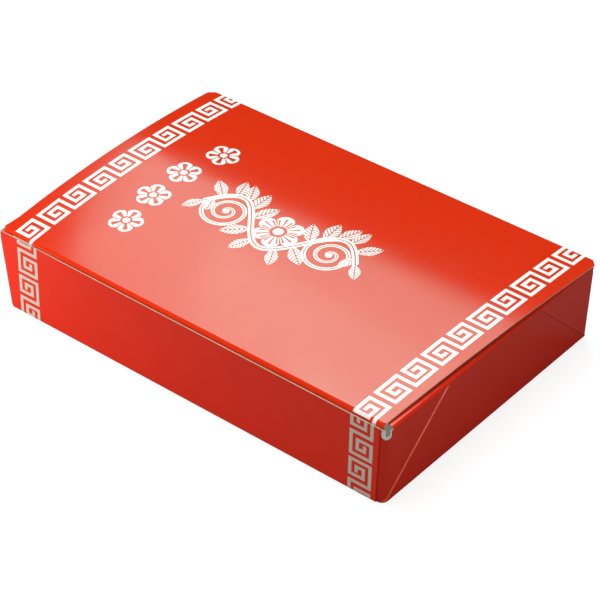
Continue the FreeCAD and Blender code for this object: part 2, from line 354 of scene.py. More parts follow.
@dataclass
class Tray:
    """Floor, four walls, glue flaps and dust flaps, folded from one blank, in millimetres.

    Where a method takes side and face, side is 1 on the right and face is 1 at the back.
    """

    sizes: CartonSizes
    board: Board
    front_edge_fall: float = 0.8
    corner_fold: float = 0.8
    worn_corner_fold: float = 2.6
    dust_fold: float = 0.75
    panel_setback: float = 0.6
    glue_length: float = 20.0
    glue_low_slope: float = 9.0
    glue_high_slope: float = 5.0
    glue_low_start: float = 2.0
    glue_high_start: float = 1.2
    dust_length: float = 24.0
    dust_front_inset: float = 3.5
    dust_back_inset: float = 4.0
    dust_taper: float = 7.0
    dust_round: float = 4.0
    dust_round_steps: int = 8
    dust_drop: float = 0.2
    slot_width: float = 1.6
    slot_depth: float = 4.2
    slot_round_share: float = 0.98
    slot_round_steps: int = 6
    bead_groove: float = 0.35
    bead_steps: int = 6
    skin_margin: float = 0.05
    edge_facing: float = 0.7

    def __post_init__(self) -> None:
        """Work out the places that more than one wall uses."""
        sizes, board = self.sizes, self.board.thickness
        self.floor_bend = sizes.floor_fold + board
        self.floor_saving = self.floor_bend * (2 - math.pi / 2)
        self.floor_middle = sizes.wall_height + sizes.half_width - self.floor_saving
        self.dust_bend = self.dust_fold + board
        self.flap_face = sizes.half_width - board
        self.dust_height = sizes.wall_height - self.dust_drop
        self.end_height = self.dust_height - self.dust_bend
        self.slot_foot = sizes.wall_height - self.slot_depth
        self.bead_radius = self.bead_groove + board
        self.bead_reach = math.sqrt(self.bead_radius ** 2 - board ** 2)

    def corner_bend(self, side: int, face: int) -> float:
        """Printed side's radius at an upright crease."""
        worn = (side, face) == (1, -1)
        return self.board.thickness + (self.worn_corner_fold if worn else self.corner_fold)

    def straight_end(self, side: int, face: int) -> float:
        """Middle to where an end wall meets its upright crease."""
        return self.flap_face - self.corner_bend(side, face)

    def floor_side(self, side: int, face: int) -> float:
        """Middle to the cut side of the front or back wall at the floor."""
        return self.sizes.floor_end - self.corner_bend(side, face) - self.panel_setback

    def leaned(self, x: float, y: float, z: float, side: int) -> Vector:
        """Place of a point of an upright end, leaned out with its end wall."""
        return Vector((side * (x + z * self.sizes.slope), y, z))

    def front_floor_back(self) -> bmesh.types.BMesh:
        """Fold the front wall, floor and back wall from one strip.

        Returns:
            The folded strip.
        """
        sizes = self.sizes
        path = FoldedPath(
            [
                (-sizes.half_width, sizes.wall_height),
                (-sizes.half_width, 0.0),
                (sizes.half_width, 0.0),
                (sizes.half_width, sizes.wall_height - sizes.hinge_gap),
            ],
            [self.floor_bend, self.floor_bend],
        )
        (_, floor_start), (floor_stop, _) = path.arcs
        middle = (floor_start + floor_stop) / 2
        outline = []
        for side in (-1, 1):
            front, back = side * self.floor_side(side, -1), side * self.floor_side(side, 1)
            flare = side * sizes.end_flare
            run = [
                (front + flare, self.front_edge_fall if side > 0 else 0.0), (front, floor_start),
                (front, middle), (back, middle), (back, floor_stop), (back + flare, path.length),
            ]
            outline += run[::-side]
        sheet = Sheet(outline)
        sheet.turn_face()
        sheet.score_folds(path, (0.0, 1.0), self.board)
        for side in (-1, 1):
            for face in (-1, 1):
                sheet.score((0.0, middle + face * self.straight_end(side, face)), (0.0, 1.0))

        def place(u: float, v: float) -> Vector:
            """Folded place of a point of the strip."""
            section = path.at(v)
            return Vector((u, section.x, section.y))

        return sheet.fold(place, lambda u, v: (u, v), True)

    def end_section(self, side: int) -> FoldedPath:
        """Upright section of an end: floor, wall and dust flap.

        Args:
            side: 1 on the right.

        Returns:
            The section, from the floor's side to the dust flap's free edge.
        """
        sizes = self.sizes
        free = sizes.half_length - self.dust_length - self.dust_height * sizes.slope
        return FoldedPath(
            [
                (self.floor_side(side, -1), 0.0),
                (sizes.floor_end, 0.0),
                (sizes.floor_end, self.dust_height),
                (free, self.dust_height),
            ],
            [self.floor_bend, self.dust_bend],
        )

    def end_wall(self, side: int) -> bmesh.types.BMesh:
        """Fold an end wall with its dust flap and pressed crease beads.

        Args:
            side: 1 on the right.

        Returns:
            The folded sheet.
        """
        sizes = self.sizes
        path = self.end_section(side)
        (_, floor_stop), (crease, flap_start) = path.arcs
        free = path.length
        front = -sizes.half_width + self.dust_front_inset
        back = sizes.half_width - self.dust_back_inset
        start = self.floor_side(side, -1)
        step = self.floor_side(side, 1) - start
        front_end, back_end = -self.straight_end(side, -1), self.straight_end(side, 1)
        sheet = Sheet([
            (0.0, front_end), (crease, front_end), (crease, front),
            (flap_start, front), (free, front + self.dust_taper),
            (free, back - self.dust_taper), (flap_start, back), (crease, back),
            (crease, back_end), (step, back_end), (step, 0.0), (0.0, 0.0),
        ])
        sheet.round_corners(lambda co: co.x > free - NEAR, self.dust_round, self.dust_round_steps)
        sheet.score_folds(path, (1.0, 0.0), self.board)
        for face in (-1, 1):
            sheet.score((self.floor_side(side, face) + self.panel_setback - start, 0.0), (1.0, 0.0))
        foot = floor_stop - self.floor_bend
        self.score_beads(sheet, foot)

        def place(a: float, y: float) -> Vector:
            """Folded place of a point of the sheet."""
            section = path.at(a)
            proud = self.bead_height(a - foot, y) if floor_stop <= a <= crease + NEAR else 0.0
            return self.leaned(section.x + proud, y, section.y, side)

        return sheet.fold(
            place, lambda a, y: (side * (start + a), self.floor_middle + y), side > 0
        )

    def score_beads(self, sheet: Sheet, foot: float) -> None:
        """Score an end wall along its two beads, which run at 45 degrees from the floor's corners.

        Args:
            sheet: the end wall, still flat.
            foot: length of its section at which the wall's height is nought.
        """
        outside = self.bead_reach + self.board.support
        steps = range(-self.bead_steps, self.bead_steps + 1)
        offsets = [self.bead_reach * math.sin(math.pi * i / self.bead_steps / 2) for i in steps]
        root = math.sqrt(0.5)
        for face in (-1, 1):
            for offset in [-outside, *offsets, outside]:
                point = (foot + offset * root, face * (self.sizes.half_width + offset * root))
                sheet.score(point, (root, face * root))

    def bead_height(self, z: float, y: float) -> float:
        """How far a bead, a half-round at 45 degrees, stands out of an end wall.

        Args:
            z: height on the wall.
            y: depth on the wall.

        Returns:
            The bead's height, or nought beside it.
        """
        offset = (z - (self.sizes.half_width - abs(y))) * math.sqrt(0.5)
        if abs(offset) >= self.bead_reach:
            return 0.0
        return math.sqrt(self.bead_radius ** 2 - offset ** 2) - self.board.thickness

    def corner_strip(self, side: int, face: int) -> bmesh.types.BMesh:
        """Fold an upright crease with its relief slot and glue flap.

        Args:
            side: 1 on the right.
            face: 1 behind the back wall, -1 behind the front wall.

        Returns:
            The folded strip.
        """
        sizes = self.sizes
        bend = self.corner_bend(side, face)
        straight = self.straight_end(side, face)
        turn = bend * math.pi / 2
        foot = turn + self.panel_setback
        free = turn + self.glue_length - bend
        slot = self.slot_width / 2
        slot_foot = self.slot_foot
        middle = turn / 2
        top = self.end_height
        sheet = Sheet([
            (0.0, self.floor_bend), (foot, self.floor_bend),
            (foot, self.glue_low_start), (free, self.glue_low_start + self.glue_low_slope),
            (free, sizes.wall_height - self.glue_high_start - self.glue_high_slope),
            (turn, sizes.wall_height - self.glue_high_start), (turn, top),
            (middle + slot, top), (middle + slot, slot_foot), (middle - slot, slot_foot),
            (middle - slot, top), (0.0, top),
        ])
        sheet.round_corners(
            lambda co: abs(co.y - slot_foot) < NEAR and abs(co.x - middle) < slot + NEAR,
            slot * self.slot_round_share, self.slot_round_steps,
        )
        for i in range(self.board.fold_steps + 1):
            sheet.score((turn * i / self.board.fold_steps, 0.0), (1.0, 0.0))
        sheet.score((foot, 0.0), (1.0, 0.0))
        self.close_foot(sheet, foot)

        def place(s: float, z: float) -> Vector:
            """Folded place of a point of the strip; a height below nought is the crease's centre."""
            depth = min(max(z, 0.0), self.floor_bend)
            tuck = self.floor_bend - math.sqrt(self.floor_bend ** 2 - (self.floor_bend - depth) ** 2)
            angle = min(s, turn) / bend
            radius = (bend - tuck) if z >= 0 else 0.0
            x = sizes.floor_end - bend + radius * math.cos(angle) - max(s - turn, 0.0)
            y = straight + radius * math.sin(angle)
            return self.leaned(x, face * y, max(z, 0.0), side)

        return sheet.fold(
            place,
            lambda s, z: (side * (sizes.floor_end + z), self.floor_middle + face * (straight + s)),
            side * face < 0,
        )

    def close_foot(self, sheet: Sheet, reach: float) -> None:
        """Turn the foot of an upright crease under to the floor's corner.

        Args:
            sheet: the corner strip, still flat.
            reach: how much of the strip's length has a foot.
        """
        quarter = math.pi / 2 / self.board.fold_steps
        heights = [self.floor_bend * (1 - math.sin(quarter * (i + 1))) for i in range(self.board.fold_steps)]
        for z in [*heights, -self.floor_bend]:
            low = min(vert.co.y for vert in sheet.mesh.verts)
            edges = [
                edge for edge in sheet.mesh.edges
                if all(abs(vert.co.y - low) < NEAR and vert.co.x < reach + NEAR for vert in edge.verts)
            ]
            grown = bmesh.ops.extrude_edge_only(sheet.mesh, edges=edges)["geom"]
            for vert in [item for item in grown if isinstance(item, bmesh.types.BMVert)]:
                vert.co.y = z

    def edge_hidden(self, centre: Vector, normal: Vector) -> bool:
        """Whether a cut edge lies in an upright crease or along the hinge.

        Args:
            centre: the edge's centre, in metres.
            normal: the way that it faces.

        Returns:
            True for the upright edges of the front and back walls and for the hinge edge.
        """
        outermost = abs(centre.y) > (self.flap_face - self.skin_margin) * MM
        upright = abs(normal.x) > self.edge_facing
        hinge = centre.y > 0 and normal.z > self.edge_facing
        return outermost and (upright or hinge)

    def build(self, finishes: Sequence[bpy.types.Material]) -> bpy.types.Object:
        """Fold the tray and set it in place of its solid.

        Args:
            finishes: printed side, inside and cut edge.

        Returns:
            The finished piece.
        """
        sheets = [self.front_floor_back()]
        for side in (-1, 1):
            sheets.append(self.end_wall(side))
            sheets += [self.corner_strip(side, face) for face in (-1, 1)]
        piece = board_piece("tray_board", joined(sheets, "tray_board"), self.board, finishes)
        hide_edges(piece, self.edge_hidden)
        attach(piece, "tray")
        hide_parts("tray")
        return piece


@dataclass
class Lid:
    """Arched panel, front fold and tuck flap, in millimetres and degrees."""

    sizes: CartonSizes
    board: Board
    front_fold: float = 1.4
    overhang: float = 1.0
    hinge_cut: float = 2.5
    front_inset: float = 2.8
    tuck_clearance: float = 0.2
    tuck_depth: float = 15.0
    tuck_side_inset: float = 3.8
    tuck_taper: float = 3.5
    tuck_round: float = 9.0
    tuck_round_steps: int = 12
    lean_margin: float = 3.0
    left_arch: float = 3.4
    right_arch: float = 1.3
    front_rise: float = 0.7
    rows: int = 32
    columns: int = 12
    edge_facing: float = 0.9

    def __post_init__(self) -> None:
        """Work out the front fold and where the tuck flap hangs from it."""
        sizes, board = self.sizes, self.board.thickness
        self.bend = self.front_fold + board
        self.side = sizes.half_length + self.overhang
        self.lean = math.radians(self.lean_margin) + self.tuck_depth / (2 * sizes.width)
        slope = 2 * (self.left_arch + self.right_arch) / sizes.width
        front = -sizes.half_width + 2 * board + self.tuck_clearance
        rise = sizes.wall_height + self.front_rise
        hinge_height = sizes.wall_height + sizes.hinge_gap + board
        self.hinge = Vector((sizes.half_width - sizes.hinge_gap, hinge_height))
        self.end = Vector((front + self.bend * (1 - math.sin(slope)), rise))
        self.up = Vector((-math.sin(slope), math.cos(slope)))
        self.out = Vector((-math.cos(self.lean), -math.sin(self.lean)))
        self.down = Vector((math.sin(self.lean), -math.cos(self.lean)))
        self.centre = self.end - self.up * self.bend
        self.panel = (self.end - self.hinge).length
        self.fold_end = self.panel + self.bend * self.up.angle(self.out)
        top = self.centre + self.out * self.bend
        self.tip = self.fold_end + (top.y - rise + self.tuck_depth) / math.cos(self.lean)

    def arch_point(self, share: float, arch: float) -> Vector:
        """Point of an arch from the hinge to the front fold.

        Args:
            share: how far along the arch, from 0 to 1.
            arch: the arch's height over its chord.

        Returns:
            The point's depth and height.
        """
        chord = self.end - self.hinge
        along, across = chord.normalized(), Vector((chord.y, -chord.x)).normalized()
        radius = (chord.length_squared / 4 + arch ** 2) / (2 * arch)
        half = math.asin(chord.length / 2 / radius)
        angle = half * (2 * share - 1)
        middle = (self.hinge + self.end) / 2 - across * (radius - arch)
        return middle + across * radius * math.cos(angle) + along * radius * math.sin(angle)

    def place(self, x: float, v: float) -> Vector:
        """Folded place of a point of the blank.

        Args:
            x: place across the lid.
            v: place from the hinge.

        Returns:
            The folded place.
        """
        if v <= self.panel:
            share = max(v, 0.0) / self.panel
            right = (x + self.side) / (2 * self.side)
            left_point = self.arch_point(share, self.left_arch)
            section = left_point.lerp(self.arch_point(share, self.right_arch), right)
        elif v <= self.fold_end:
            turned = Matrix.Rotation((v - self.panel) / self.bend, 2) @ self.up
            section = self.centre + turned * self.bend
        else:
            section = self.centre + self.out * self.bend + self.down * (v - self.fold_end)
        return Vector((x, section.x, section.y))

    def build(self, finishes: Sequence[bpy.types.Material]) -> bpy.types.Object:
        """Fold the lid and set it in place of its solid.

        Args:
            finishes: printed side, inside and cut edge.

        Returns:
            The finished piece.
        """
        half = self.sizes.half_length
        hinge, corner = self.side, half - self.front_inset
        upper = half - self.tuck_side_inset
        lower = upper - self.tuck_taper
        nose = self.panel + self.bend
        left = [
            (-hinge + self.hinge_cut, 0.0), (-hinge, self.hinge_cut), (-corner, nose),
            (-corner, self.fold_end), (-upper, self.fold_end), (-lower, self.tip),
        ]
        sheet = Sheet([*left, *[(-u, v) for u, v in reversed(left)]])
        sheet.turn_face()
        sheet.round_corners(lambda co: co.y > self.tip - NEAR, self.tuck_round, self.tuck_round_steps)
        for i in range(1, self.rows):
            sheet.score((0.0, self.panel * i / self.rows), (0.0, 1.0))
        steps = self.board.fold_steps
        for i in range(steps + 1):
            sheet.score((0.0, self.panel + (self.fold_end - self.panel) * i / steps), (0.0, 1.0))
        for v in (self.panel - self.board.support, self.fold_end + self.board.support):
            sheet.score((0.0, v), (0.0, 1.0))
        for i in range(1, self.columns):
            sheet.score((-hinge + 2 * hinge * i / self.columns, 0.0), (1.0, 0.0))
        folded = sheet.fold(self.place, lambda u, v: (u, v), True)
        piece = board_piece("lid_board", joined([folded], "lid_board"), self.board, finishes)
        hide_edges(piece, lambda centre, normal: normal.y > self.edge_facing)
        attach(piece, "lid")
        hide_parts("lid")
        return piece


class Nodes:
    """Short hand for wiring a node tree."""

    def __init__(self, tree: bpy.types.NodeTree) -> None:
        """Work on tree."""
        self.tree = tree

    def add(self, kind: str, **settings: object) -> bpy.types.Node:
        """Add a node.

        Args:
            kind: the node's type.
            **settings: properties to set on it.

        Returns:
            The new node.
        """
        node = self.tree.nodes.new(kind)
        for name, value in settings.items():
            setattr(node, name, value)
        return node

    def link(self, source: Term, target: bpy.types.NodeSocket) -> None:
        """Wire a socket or set a constant.

        Args:
            source: socket or constant that feeds the target.
            target: the socket that is fed.
        """
        if isinstance(source, bpy.types.NodeSocket):
            self.tree.links.new(source, target)
        else:
            target.default_value = source

    def math(self, operation: str, *values: Term) -> bpy.types.NodeSocket:
        """Result of a Math node.

        Args:
            operation: the node's operation.
            *values: what it works on.

        Returns:
            Its output.
        """
        node = self.add("ShaderNodeMath", operation=operation)
        for value, socket in zip(values, node.inputs):
            self.link(value, socket)
        return node.outputs[0]

    def product(self, *values: Term) -> bpy.types.NodeSocket:
        """All the values multiplied, which is one where every mask among them is one."""
        return reduce(lambda first, second: self.math("MULTIPLY", first, second), values)

    def either(self, *masks: Term) -> bpy.types.NodeSocket:
        """The largest of the values, which is one where any mask among them is one."""
        return reduce(lambda first, second: self.math("MAXIMUM", first, second), masks)

    def band(self, value: Term, middle: float, half: float) -> bpy.types.NodeSocket:
        """One where value lies within half of middle."""
        return self.math("COMPARE", value, middle, half)

    def outside(self, mask: Term) -> bpy.types.NodeSocket:
        """One where the mask is nought."""
        return self.math("SUBTRACT", 1.0, mask)

    def distance(self, x: Term, y: Term) -> bpy.types.NodeSocket:
        """Distance of a point from the origin."""
        return self.math("SQRT", self.math("MULTIPLY_ADD", x, x, self.math("MULTIPLY", y, y)))

    def mix(self, share: Term, first: Term, second: Term) -> bpy.types.NodeSocket:
        """Colour between two colours.

        Args:
            share: share of the second colour.
            first: the first colour.
            second: the second colour.

        Returns:
            The mixed colour.
        """
        node = self.add("ShaderNodeMix", data_type="RGBA")
        self.link(share, node.inputs["Factor"])
        self.link(first, node.inputs[MIX_FIRST])
        self.link(second, node.inputs[MIX_SECOND])
        return node.outputs[MIX_RESULT]

    def noise(self, place: Term, scale: float, detail: float = 2.0) -> bpy.types.NodeSocket:
        """Noise value, from 0 to 1.

        Args:
            place: where it is read, in metres.
            scale: waves for each metre.
            detail: octaves of finer noise.

        Returns:
            The value.
        """
        node = self.add("ShaderNodeTexNoise")
        self.link(place, node.inputs["Vector"])
        node.inputs["Scale"].default_value = scale
        node.inputs["Detail"].default_value = detail
        return node.outputs["Fac"]

    def bump(self, height: Term, strength: float, depth: float) -> bpy.types.NodeSocket:
        """Normal of a surface that is not quite smooth.

        Args:
            height: height over the surface, from 0 to 1.
            strength: share of the effect.
            depth: depth of the unevenness, in millimetres.

        Returns:
            The normal.
        """
        node = self.add("ShaderNodeBump")
        node.inputs["Strength"].default_value = strength
        node.inputs["Distance"].default_value = depth * MM
        self.link(height, node.inputs["Height"])
        return node.outputs[0]

    def group(self, group: bpy.types.NodeTree, **values: Term) -> bpy.types.Node:
        """Place a node group.

        Args:
            group: the group.
            **values: what feeds its inputs, by name, with _ for a space.

        Returns:
            The group's node.
        """
        node = self.add("ShaderNodeGroup", node_tree=group)
        for name, value in values.items():
            self.link(value, node.inputs[name.replace("_", " ")])
        return node


def new_group(name: str, inputs: Sequence[str], outputs: Sequence[str]) -> tuple[Nodes, dict, dict]:
    """Start a shader node group whose sockets are all plain values.

    Args:
        name: name of the group.
        inputs: names of its inputs.
        outputs: names of its outputs.

    Returns:
        The wiring hand, the inputs by name and the outputs by name.
    """
    tree = bpy.data.node_groups.new(name, "ShaderNodeTree")
    for in_out, sockets in (("INPUT", inputs), ("OUTPUT", outputs)):
        for socket in sockets:
            tree.interface.new_socket(socket, in_out=in_out, socket_type="NodeSocketFloat")
    nodes = Nodes(tree)
    entry = nodes.add("NodeGroupInput")
    leave = nodes.add("NodeGroupOutput")
    return nodes, {s: entry.outputs[s] for s in inputs}, {s: leave.inputs[s] for s in outputs}


def new_material(name: str) -> tuple[bpy.types.Material, Nodes, bpy.types.Node]:
    """Start a material.

    Args:
        name: name of the material.

    Returns:
        The material, its wiring hand and its shader.
    """
    material = bpy.data.materials.new(name)
    material.use_nodes = True
    return material, Nodes(material.node_tree), material.node_tree.nodes["Principled BSDF"]


@dataclass(frozen=True)
class Meander:
    """Border of paired key spirals, each pair turned about its shared line, in millimetres."""

    half_width: float
    block: float
    pitch: float
    line: float = 1.6
    inner_side: float = 1.7
    front_share: float = 0.305
    back_share: float = 0.72
    stub_share: float = 0.53

    def bars(self) -> list[tuple[float, float, float, float]]:
        """Bars of the spiral behind the shared line.

        Returns:
            Each bar's left and right limits across, and its near and far limits along.
        """
        side, inner = self.half_width, self.inner_side
        front, back = self.block * self.front_share, self.block * self.back_share
        stub = self.block * self.stub_share
        return [
            (-side, side, 0.0, 0.0),
            (side, side, 0.0, self.block),
            (-side, side, self.block, self.block),
            (-side, -side, front, self.block),
            (-side, inner, front, front),
            (inner, inner, front, back),
            (-inner, inner, back, back),
            (-inner, -inner, stub, back),
        ]

    def build(self, name: str) -> bpy.types.NodeTree:
        """Make the border's node group: Across and Along in, Mask out.

        Args:
            name: name of the group.

        Returns:
            The group.
        """
        nodes, inputs, outputs = new_group(name, ["Across", "Along"], ["Mask"])
        along = nodes.math("WRAP", inputs["Along"], self.pitch / 2, -self.pitch / 2)
        turned = nodes.product(inputs["Across"], nodes.math("SIGN", along))
        ahead = nodes.math("ABSOLUTE", along)
        bars = [
            nodes.product(
                nodes.band(turned, (left + right) / 2, (right - left + self.line) / 2),
                nodes.band(ahead, (near + far) / 2, (far - near + self.line) / 2),
            )
            for left, right, near, far in self.bars()
        ]
        nodes.link(nodes.either(*bars), outputs["Mask"])
        return nodes.tree


def placing_group() -> bpy.types.NodeTree:
    """Make the group that turns places on the blank into places round an ornament's centre.

    Returns:
        The group: U, V, Centre U, Centre V and Turn, in radians, in; X and Y out.
    """
    nodes, inputs, outputs = new_group("placing", ["U", "V", "Centre U", "Centre V", "Turn"], ["X", "Y"])
    du = nodes.math("SUBTRACT", inputs["U"], inputs["Centre U"])
    dv = nodes.math("SUBTRACT", inputs["V"], inputs["Centre V"])
    cosine, sine = nodes.math("COSINE", inputs["Turn"]), nodes.math("SINE", inputs["Turn"])
    x = nodes.math("MULTIPLY_ADD", du, cosine, nodes.product(dv, sine))
    y = nodes.math("SUBTRACT", nodes.product(dv, cosine), nodes.product(du, sine))
    nodes.link(x, outputs["X"])
    nodes.link(y, outputs["Y"])
    return nodes.tree


@dataclass(frozen=True)
class Tendril:
    """Spiral tendril, open at its crest on the +Y side; widths are shares of its coils' pitch."""

    coils: float = 2.5
    whole_turns: float = 2.0
    half_stroke: float = 0.12
    stroke_growth: float = 0.10
    half_vein: float = 0.045
    eye: float = 0.13

    def build(self) -> bpy.types.NodeTree:
        """Make the node group: X, Y and Radius in, Mask out.

        Returns:
            The group.
        """
        nodes, inputs, outputs = new_group("tendril", ["X", "Y", "Radius"], ["Mask"])
        share = nodes.math("DIVIDE", nodes.distance(inputs["X"], inputs["Y"]), inputs["Radius"])
        angle = nodes.math("ARCTAN2", inputs["X"], inputs["Y"])
        turns = nodes.math("MULTIPLY_ADD", share, self.coils, nodes.math("DIVIDE", angle, 2 * math.pi))
        across = nodes.math("ABSOLUTE", nodes.math("SUBTRACT", nodes.math("FRACT", turns), 0.5))
        half_width = nodes.math("MULTIPLY_ADD", share, self.stroke_growth, self.half_stroke)
        limit = nodes.math("ADD", nodes.math("GREATER_THAN", angle, 0.0), self.whole_turns)
        line = nodes.product(
            nodes.math("LESS_THAN", across, half_width),
            nodes.math("GREATER_THAN", across, self.half_vein),
            nodes.math("LESS_THAN", turns, limit),
        )
        nodes.link(nodes.either(line, nodes.math("LESS_THAN", share, self.eye)), outputs["Mask"])
        return nodes.tree


@dataclass(frozen=True)
class Blossom:
    """Blossom with veined petals; sizes are shares of its radius."""

    waist: float = 0.64
    petal_gap: float = 0.14
    vein_crest: float = 0.55
    vein_reach: float = 0.84
    ring: float = 0.28
    half_ring: float = 0.06
    heart: float = 0.2

    def build(self) -> bpy.types.NodeTree:
        """Make the node group: X, Y, Radius, Petals and Veins in, Mask out.

        Returns:
            The group.
        """
        nodes, inputs, outputs = new_group("blossom", ["X", "Y", "Radius", "Petals", "Veins"], ["Mask"])
        share = nodes.math("DIVIDE", nodes.distance(inputs["X"], inputs["Y"]), inputs["Radius"])
        fan = nodes.product(nodes.math("ARCTAN2", inputs["Y"], inputs["X"]), inputs["Petals"])
        lobe = nodes.math("ABSOLUTE", nodes.math("COSINE", nodes.product(fan, 0.5)))
        rim = nodes.math("MULTIPLY_ADD", nodes.math("SQRT", lobe), 1 - self.waist, self.waist)
        vein = nodes.product(
            nodes.math("GREATER_THAN", nodes.math("COSINE", nodes.product(fan, inputs["Veins"])),
                       self.vein_crest),
            nodes.math("LESS_THAN", share, nodes.product(rim, self.vein_reach)),
        )
        petal = nodes.product(
            nodes.math("LESS_THAN", share, rim),
            nodes.math("GREATER_THAN", lobe, self.petal_gap),
            nodes.outside(vein),
            nodes.outside(nodes.band(share, self.ring, self.half_ring)),
        )
        nodes.link(nodes.either(petal, nodes.math("LESS_THAN", share, self.heart)), outputs["Mask"])
        return nodes.tree


@dataclass(frozen=True)
class Leaf:
    """Veined leaf from the centre along +X; sizes are shares of its length."""

    half_width: float = 0.24
    half_rib: float = 0.018
    veins: float = 7.0
    vein_width: float = 0.3

    def build(self) -> bpy.types.NodeTree:
        """Make the node group: X, Y and Length in, Mask out.

        Returns:
            The group.
        """
        nodes, inputs, outputs = new_group("leaf", ["X", "Y", "Length"], ["Mask"])
        share = nodes.math("DIVIDE", inputs["X"], inputs["Length"])
        side = nodes.math("ABSOLUTE", nodes.math("DIVIDE", inputs["Y"], inputs["Length"]))
        swell = nodes.math("SINE", nodes.product(share, math.pi))
        width = nodes.product(swell, nodes.band(share, 0.5, 0.5), self.half_width)
        slant = nodes.math("FRACT", nodes.product(nodes.math("SUBTRACT", share, side), self.veins))
        leaf = nodes.product(
            nodes.math("LESS_THAN", side, width),
            nodes.math("GREATER_THAN", side, self.half_rib),
            nodes.math("GREATER_THAN", slant, self.vein_width),
        )
        nodes.link(leaf, outputs["Mask"])
        return nodes.tree


@dataclass(frozen=True)
class Spray:
    """Scrolling stem with tendrils, leaves and a blossom, and a column of small blossoms.

    Sizes are in millimetres and turns in degrees. The leaves stand on the right half of the stem,
    each with its share of half a wave, its turn and its length, and are mirrored to the left half.
    """

    middle: Pair = (-7.5, 65.5)
    tilt: float = -3.44
    wave: float = 25.5
    depth: float = 11.5
    stem: float = 1.6
    stem_waves: float = 1.5
    blossom_drop: float = 1.0
    blossom_turn: float = 18.0
    blossom_radius: float = 10.5
    petals: float = 6.0
    veins: float = 3.0
    leaves: tuple[Triple, ...] = (
        (0.22, 66.0, 11.0), (0.40, 40.0, 13.0), (0.56, -118.0, 13.0), (0.70, -92.0, 13.0),
        (0.86, -66.0, 12.0), (1.10, -74.0, 11.0), (1.28, -44.0, 12.0), (1.38, 108.0, 9.0),
        (1.47, 58.0, 10.0),
    )
    column: tuple[Pair, ...] = ((-60.5, 37.5), (-64.5, 57.5), (-63.5, 77.0), (-60.5, 96.0))
    column_radius: float = 7.4
    column_turn: float = 17.2
    column_petals: float = 5.0
    column_veins: float = 1.0

    def parts(self) -> list[tuple[str, float, float, float, dict[str, float]]]:
        """List the ornaments on the stem.

        Returns:
            Each ornament's kind, place across and along, turn in degrees and sizes.
        """
        petals = {"Radius": self.blossom_radius, "Petals": self.petals, "Veins": self.veins}
        found = [("blossom", 0.0, -self.blossom_drop, self.blossom_turn, petals)]
        for side in (-1, 1):
            found.append(("tendril", side * self.wave, 0.0, 180.0, {"Radius": self.depth}))
            for share, turn, length in self.leaves:
                height = self.depth * math.cos(math.pi * share)
                aim = turn if side > 0 else 180.0 - turn
                found.append(("leaf", side * share * self.wave, height, aim, {"Length": length}))
        return found

    def build(self, nodes: Nodes, u: Term, v: Term) -> bpy.types.NodeSocket:
        """Draw the spray.

        Args:
            nodes: the material's wiring hand.
            u: place across the lid.
            v: place from the hinge.

        Returns:
            One where the pale ink lies.
        """
        placing = placing_group()
        groups = {"tendril": Tendril().build(), "blossom": Blossom().build(), "leaf": Leaf().build()}

        def draw(kind: str, place: tuple[Term, Term], centre: Pair, turn: float, **sizes: float) -> Term:
            """Draw one ornament of a kind, with its centre, turn in degrees and sizes."""
            placed = nodes.group(placing, U=place[0], V=place[1], Centre_U=centre[0],
                                 Centre_V=centre[1], Turn=math.radians(turn))
            return nodes.group(groups[kind], X=placed.outputs[0], Y=placed.outputs[1], **sizes).outputs[0]

        x, y = nodes.group(placing, U=u, V=v, Centre_U=self.middle[0], Centre_V=self.middle[1],
                           Turn=math.radians(self.tilt)).outputs
        masks = [self.stem_mask(nodes, x, y)]
        masks += [draw(kind, (x, y), (across, along), turn, **sizes)
                  for kind, across, along, turn, sizes in self.parts()]
        masks += [draw("blossom", (u, v), centre, self.column_turn * i, Radius=self.column_radius,
                       Petals=self.column_petals, Veins=self.column_veins)
                  for i, centre in enumerate(self.column)]
        return nodes.either(*masks)

    def stem_mask(self, nodes: Nodes, x: Term, y: Term) -> bpy.types.NodeSocket:
        """Draw the stem, a wave of two fine lines.

        Args:
            nodes: the material's wiring hand.
            x: place along the stem.
            y: place across it.

        Returns:
            One where the stem lies.
        """
        phase = nodes.product(x, math.pi / self.wave)
        swing = nodes.product(nodes.math("COSINE", phase), self.depth)
        slope = nodes.product(nodes.math("SINE", phase), self.depth * math.pi / self.wave)
        run = nodes.math("SQRT", nodes.math("MULTIPLY_ADD", slope, slope, 1.0))
        off = nodes.math("ABSOLUTE", nodes.math("DIVIDE", nodes.math("SUBTRACT", y, swing), run))
        return nodes.product(
            nodes.band(off, self.stem / 2, self.stem / 3),
            nodes.band(x, 0.0, self.stem_waves * self.wave),
        )


@dataclass(frozen=True)
class Band:
    """Where a border runs: its middle line and one shared line, on the blank, in millimetres."""

    middle: float
    shared: float
    slant: float


